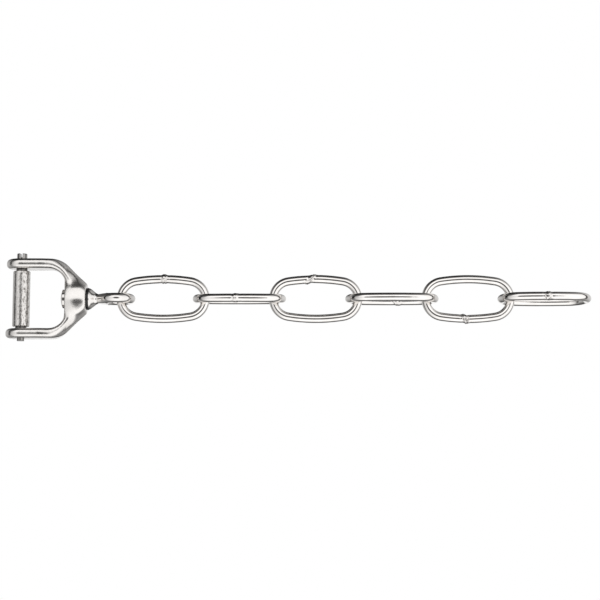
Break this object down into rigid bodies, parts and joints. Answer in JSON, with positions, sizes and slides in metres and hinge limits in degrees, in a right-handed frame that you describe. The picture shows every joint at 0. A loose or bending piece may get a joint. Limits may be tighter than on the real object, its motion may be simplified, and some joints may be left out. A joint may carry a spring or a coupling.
{
  "type": "anchor swivel",
  "caption": "Stainless anchor swivel for flat webbing: D-shaped bow with screw pin and roller, swivel eye held by a domed nut, and a short run of long welded chain links.",
  "frame": {"origin": "centre of the screw pin and roller, on the swivel's turning axis", "axes": "+Z from the chain towards the roller, up as it hangs; X along the screw pin with its head on +X"},
  "size_m": [0.0732, 0.0408, 0.4872],
  "materials": {
    "bow_steel": "satin polished",
    "pin_steel": "turned",
    "tube_steel": "turned",
    "roller_steel": "drawn, lightly scratched",
    "eye_steel": "polished",
    "nut_steel": "polished",
    "chain_steel": "polished",
    "washer_plastic": "moulded"
  },
  "bodies": {
    "bow": {"yoke": "bow_steel", "clevis_screw": "pin_steel", "spacer_tube": "tube_steel"},
    "roller": {"roller": "roller_steel"},
    "eye": {"swivel_eye": "eye_steel", "retaining_nut": "nut_steel", "inner_washer": "washer_plastic", "outer_washer": "washer_plastic"},
    "link_1": {"chain_link_1": "chain_steel"},
    "link_2": {"chain_link_2": "chain_steel"},
    "link_3": {"chain_link_3": "chain_steel"},
    "link_4": {"chain_link_4": "chain_steel"},
    "link_5": {"chain_link_5": "chain_steel"},
    "link_6": {"chain_link_6": "chain_steel"}
  },
  "joints": [
    {"name": "roller_spin", "type": "hinge", "parent": "bow", "child": "roller", "pos_m": [0, 0, 0], "axis": [1, 0, 0], "continuous": true},
    {"name": "swivel_spin", "type": "hinge", "parent": "bow", "child": "eye", "pos_m": [0, 0, -0.0799], "axis": [0, 0, 1], "continuous": true},
    {"name": "link_1_swing", "type": "hinge", "parent": "eye", "child": "link_1", "pos_m": [0, 0, -0.0909], "axis": [0, 1, 0], "range_deg": [-90, 90]},
    {"name": "link_2_swing", "type": "hinge", "parent": "link_1", "child": "link_2", "pos_m": [0, 0, -0.1536], "axis": [0.9989, -0.0471, 0], "range_deg": [-90, 90]},
    {"name": "link_3_swing", "type": "hinge", "parent": "link_2", "child": "link_3", "pos_m": [0, 0, -0.2171], "axis": [0, -1, 0], "range_deg": [-90, 90]},
    {"name": "link_4_swing", "type": "hinge", "parent": "link_3", "child": "link_4", "pos_m": [0, 0, -0.2806], "axis": [-1, 0, 0], "range_deg": [-90, 90]},
    {"name": "link_5_swing", "type": "hinge", "parent": "link_4", "child": "link_5", "pos_m": [0, 0, -0.3441], "axis": [0, 1, 0], "range_deg": [-90, 90]},
    {"name": "link_6_swing", "type": "hinge", "parent": "link_5", "child": "link_6", "pos_m": [0, 0, -0.4076], "axis": [0.9988, 0.0489, 0], "range_deg": [-90, 90]}
  ]
}
